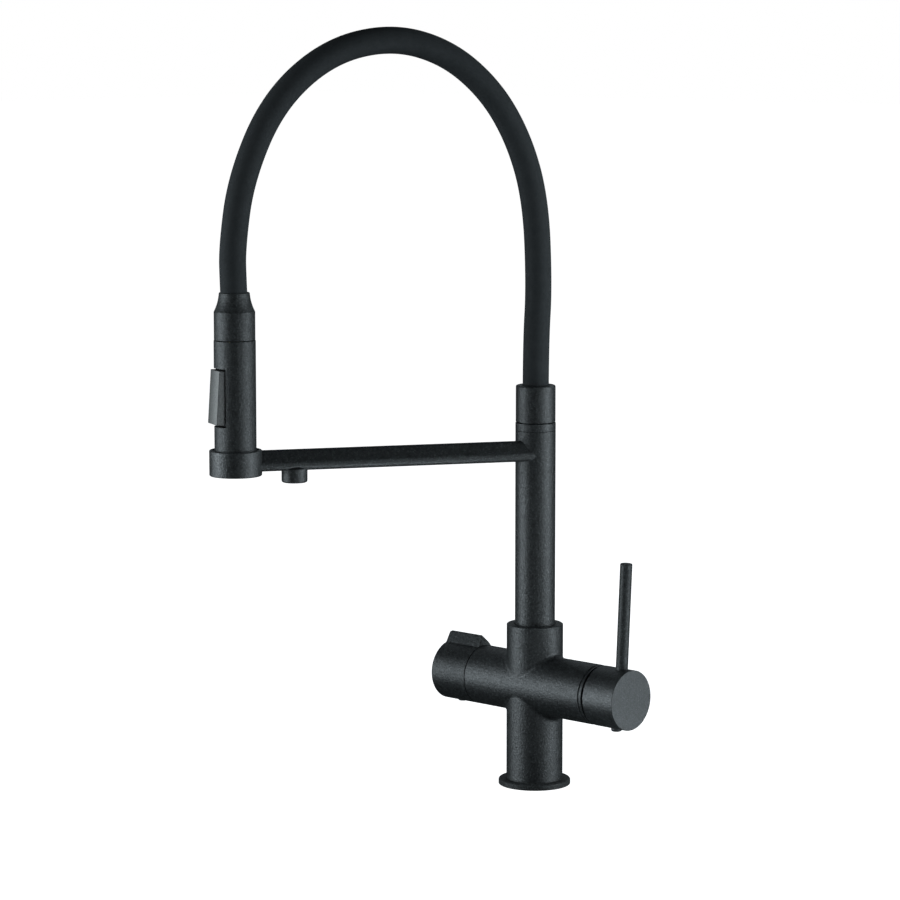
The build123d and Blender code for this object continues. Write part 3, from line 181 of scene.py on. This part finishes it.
def rocker():
    """Rocker with painted shade: its face toward S is painted pale and darkens to its far edge as painted shading of a
    curved face, and its flanks are painted darker as painted shade.
    """
    m = Mat("rocker_painted_shade")

    def along(vector, axis):
        d = m.t.nodes.new("ShaderNodeVectorMath")
        d.operation = "DOT_PRODUCT"
        d.inputs[1].default_value = axis
        m.link(vector, d.inputs[0])
        return d.outputs["Value"]

    o = NODES["spray_rocker"]
    across = [(o.matrix_world @ v.co).dot(N) for v in o.data.vertices]
    width = m.t.nodes.new("ShaderNodeMapRange")
    width.inputs["From Min"].default_value = min(across)
    width.inputs["From Max"].default_value = max(across)
    m.link(along(m.co, N), width.inputs["Value"])
    turn = along(m.co.node.outputs["Normal"], S)
    # painted shading: the face colour grades across the rocker's width the way shade on a curved face would
    face = m.ramp(width.outputs["Result"], [
        (0.0, (0.085, 0.084, 0.081)), (0.15, (0.098, 0.097, 0.093)), (0.36, (0.150, 0.148, 0.143)),
        (0.62, (0.222, 0.219, 0.211)), (0.86, (0.285, 0.281, 0.271)), (1.0, (0.262, 0.258, 0.249))])
    # painted shade: surfaces turned away from S get a darker flank colour
    side = m.ramp(turn, [(0.40, (0.120, 0.119, 0.115)), (0.55, (0.045, 0.045, 0.044))])
    # face colour where the normal points along S, the painted-shade flank colour elsewhere
    tone = m.mix(m.ramp(turn, [(0.90, 0.0), (0.965, 1.0)]), side, face)
    grain = m.ramp(m.noise(900.0, 2.0, 0.6), [(0.34, 0.80), (0.68, 1.22)])
    m.color(m.mix(1.0, tone, grain, "MULTIPLY"))
    m.rough(m.ramp(m.noise(760.0, 2.0, 0.6), [(0.3, 0.56), (0.7, 0.46)]))
    m.bump(m.noise(900.0, 3.0, 0.6), 0.25, 0.0002)
    return m.m


def silicone():
    m = Mat("hose_silicone")
    m.color(m.ramp(m.noise(160.0, 4.0, 0.6), [(0.3, (0.0205, 0.0230, 0.0245)), (0.7, (0.0265, 0.0295, 0.0312))]))
    m.rough(m.ramp(m.noise(700.0, 2.0), [(0.3, 0.86), (0.7, 0.76)]))
    m.set(Specular_IOR_Level=0.3)
    m.bump(m.noise(2200.0, 2.0), 0.06, 0.0001)
    return m.m


HOSE = silicone()
# rocker material with painted shade on its face and flanks
ROCKER = rocker()
BLACK = plastic("black_plastic", (0.006, 0.0065, 0.007), (0.011, 0.0115, 0.012), 0.5)
SEAL = plastic("seal_rubber", (0.006, 0.006, 0.006), (0.012, 0.012, 0.012), 0.7)
NOZZLE = plastic("nozzle_silicone", (0.030, 0.031, 0.033), (0.045, 0.046, 0.049), 0.58)
INNER = plastic("inner_hose", (0.05, 0.05, 0.05), (0.08, 0.08, 0.08), 0.6)
TUBE = plastic("tube_plastic", (0.70, 0.70, 0.67), (0.80, 0.80, 0.77), 0.45)
CERAMIC = plastic("ceramic", (0.80, 0.80, 0.77), (0.87, 0.87, 0.84), 0.18, 900.0, 0.03)
BRASS = metal("brass", (0.48, 0.33, 0.13), (0.66, 0.49, 0.22), 0.3)
STEEL = metal("steel", (0.38, 0.38, 0.39), (0.56, 0.56, 0.57), 0.3)

BY_SLOT = {
    "granite_coat": COAT, "hose_silicone": HOSE, "inner_hose": INNER, "black_plastic": BLACK, "rocker_plastic": ROCKER,
    "nozzle_silicone": NOZZLE, "seal_rubber": SEAL, "tube_plastic": TUBE, "brass": BRASS, "steel": STEEL, "ceramic": CERAMIC,
}
for sub in frame["record"]["subparts"]:
    o = NODES[sub["node"]]
    o.data.materials.clear()
    o.data.materials.append(BY_NODE.get(sub["node"]) or BY_SLOT[sub["material_slot"]])


# ---------------------------------------------------------------------------
# Hose: one smooth line through the route, an outer sleeve and the inner hose on it
# ---------------------------------------------------------------------------
HOSE_ROUTE = [
    (0.0, 0.271), (0.0, 0.312), (-0.00224, 0.3494), (0.0003, 0.40857), (0.01212, 0.45036), (0.03302, 0.48536),
    (0.06476, 0.51145), (0.10458, 0.52184), (0.14886, 0.51124), (0.18660, 0.478), (0.2089, 0.42756), (0.2154, 0.381),
    (0.2148, 0.3575), (0.2143, 0.347), (0.21415, 0.331),
]


def nurbs_points(route, name, resolution):
    cu = bpy.data.curves.new(name, "CURVE")
    cu.dimensions = "3D"
    cu.resolution_u = resolution
    sp = cu.splines.new("NURBS")
    sp.points.add(len(route) - 1)
    for p, co in zip(sp.points, route):
        p.co = (*co, 1.0)
    sp.order_u = 3
    sp.use_endpoint_u = True
    ob = bpy.data.objects.new(name, cu)
    coll.objects.link(ob)
    bpy.context.view_layer.update()
    me = bpy.data.meshes.new_from_object(ob.evaluated_get(bpy.context.evaluated_depsgraph_get()))
    pts = [v.co.copy() for v in me.vertices]
    bpy.data.meshes.remove(me)
    bpy.data.objects.remove(ob)
    bpy.data.curves.remove(cu)
    return pts


def pipe(name, pts, outer, inner, sides, mat):
    """A closed tube with a bore along pts, which lie in one upright plane."""
    bm = bmesh.new()
    rings_o, rings_i = [], []
    for i, p in enumerate(pts):
        t = (pts[min(i + 1, len(pts) - 1)] - pts[max(i - 1, 0)]).normalized()
        b = N
        c = b.cross(t).normalized()
        for r, rings in ((outer, rings_o), (inner, rings_i)):
            rings.append([bm.verts.new(p + (b * math.cos(a) + c * math.sin(a)) * r)
                          for a in (2 * math.pi * k / sides for k in range(sides))])
    def skin(rings, flip):
        for r0, r1 in zip(rings, rings[1:]):
            for k in range(sides):
                f = [r0[k], r0[(k + 1) % sides], r1[(k + 1) % sides], r1[k]]
                bm.faces.new(f[::-1] if flip else f)
    skin(rings_o, False)
    skin(rings_i, True)
    for o, i, flip in ((rings_o[0], rings_i[0], True), (rings_o[-1], rings_i[-1], False)):
        for k in range(sides):
            f = [o[k], o[(k + 1) % sides], i[(k + 1) % sides], i[k]]
            bm.faces.new(f[::-1] if flip else f)
    bmesh.ops.recalc_face_normals(bm, faces=bm.faces)
    me = bpy.data.meshes.new(name)
    bm.to_mesh(me)
    bm.free()
    for poly in me.polygons:
        poly.use_smooth = True
    me.materials.append(mat)
    ob = bpy.data.objects.new(name, me)
    coll.objects.link(ob)
    return ob


route = [at(s, z) for s, z in HOSE_ROUTE]
line = nurbs_points(route, "hose_line", 14)
sleeve = pipe("hose_sleeve_soft", line, 0.0091, 0.0074, 64, HOSE)
inner = pipe("water_hose_soft", line, 0.0060, 0.0040, 32, INNER)
for ob, node, slot in ((sleeve, "hose_sleeve", "hose_silicone"), (inner, "water_hose", "inner_hose")):
    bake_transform(ob)
    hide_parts(node)


# ---------------------------------------------------------------------------
# Stage, light and camera
# ---------------------------------------------------------------------------
def area(name, loc, target, w, h, power, color=(1.0, 1.0, 1.0), spread=180.0):
    la = bpy.data.lights.new(name, "AREA")
    la.shape = "RECTANGLE"
    la.size, la.size_y = w, h
    la.energy = power
    la.spread = math.radians(spread)
    la.color = color
    ob = bpy.data.objects.new(name, la)
    coll.objects.link(ob)
    ob.location = loc
    ob.rotation_mode = "QUATERNION"
    ob.rotation_quaternion = (Vector(target) - Vector(loc)).to_track_quat("-Z", "Y")
    ob.visible_camera = False
    return ob


CAM_AT = Vector((1.52733, -1.71967, 0.53537))
CAM_DIR = Vector((-0.677441, 0.724183, -0.128969)).normalized()
TO_CAM = Vector((-CAM_DIR.x, -CAM_DIR.y, 0.0)).normalized()
RIGHT = Vector((-TO_CAM.y, TO_CAM.x, 0.0))
MID = Vector((-0.03, -0.07, 0.25))


def around(deg, dist, z):
    """A place on a circle round the object; 0 is toward the camera and + is to its right."""
    a = math.radians(deg)
    return MID + (TO_CAM * math.cos(a) + RIGHT * math.sin(a)) * dist + UP * (z - MID.z)


COOL = (0.885, 1.0, 1.065)
area("left_box", around(-82.0, 1.5, 0.14), MID, 0.95, 1.1, 20.3, COOL)
area("left_front_box", around(-68.0, 1.5, 0.14), MID, 0.95, 1.1, 4.8, COOL)
area("right_box", around(80.0, 1.5, 0.30), MID, 0.90, 1.2, 12.0, COOL)
area("right_front_box", around(65.0, 1.5, 0.30), MID, 0.90, 1.2, 9.3, COOL)
glow = around(41.0, 0.38, 0.004)
area("floor_glow", glow, glow + UP, 0.5, 0.5, 0.72, COOL)
area("back_strip", around(180.0, 1.6, 1.05), MID, 2.4, 0.7, 2.5, COOL)
flank = N if N.dot(TO_CAM) > 0 else -N
area("arm_glow", at(0.11, 0.004) + flank * 0.15, at(0.11, 0.233), 0.16, 0.05, 0.018, COOL, 24.0)

world = bpy.data.worlds.new("studio")
scene.world = world
world.use_nodes = True
wt = world.node_tree
wt.nodes.clear()
wo = wt.nodes.new("ShaderNodeOutputWorld")
seen = wt.nodes.new("ShaderNodeBackground")
seen.inputs["Color"].default_value = (1.0, 1.0, 1.0, 1.0)
seen.inputs["Strength"].default_value = 1.0
lit = wt.nodes.new("ShaderNodeBackground")
lit.inputs["Color"].default_value = (0.87, 1.0, 1.07, 1.0)
lit.inputs["Strength"].default_value = 0.036
lp = wt.nodes.new("ShaderNodeLightPath")
wm = wt.nodes.new("ShaderNodeMixShader")
wt.links.new(lp.outputs["Is Camera Ray"], wm.inputs[0])
wt.links.new(lit.outputs[0], wm.inputs[1])
wt.links.new(seen.outputs[0], wm.inputs[2])
wt.links.new(wm.outputs[0], wo.inputs["Surface"])

fm = Mat("floor_pale")
fm.color(fm.ramp(fm.noise(3.0, 2.0), [(0.0, 0.90), (1.0, 0.92)]))
fm.set(Roughness=0.9, Emission_Color=(1.0, 1.0, 1.0, 1.0), Emission_Strength=1.0)
bpy.ops.mesh.primitive_plane_add(size=30.0, location=(0.0, 0.0, -0.0002))
floor = bpy.context.object
floor.name = "floor"
floor.data.materials.append(fm.m)
floor.visible_diffuse = False
floor.visible_glossy = False

cam = bpy.data.cameras.new("camera")
cam.sensor_width = 36.0
cam.lens = 133.47
cam.clip_start, cam.clip_end = 0.05, 100.0
cam.dof.use_dof = False
cam_ob = bpy.data.objects.new("camera", cam)
coll.objects.link(cam_ob)
cam_ob.location = CAM_AT
cam_ob.rotation_mode = "QUATERNION"
cam_ob.rotation_quaternion = CAM_DIR.to_track_quat("-Z", "Y")
scene.camera = cam_ob
scene.view_settings.view_transform = "Standard"
scene.view_settings.look = "None"
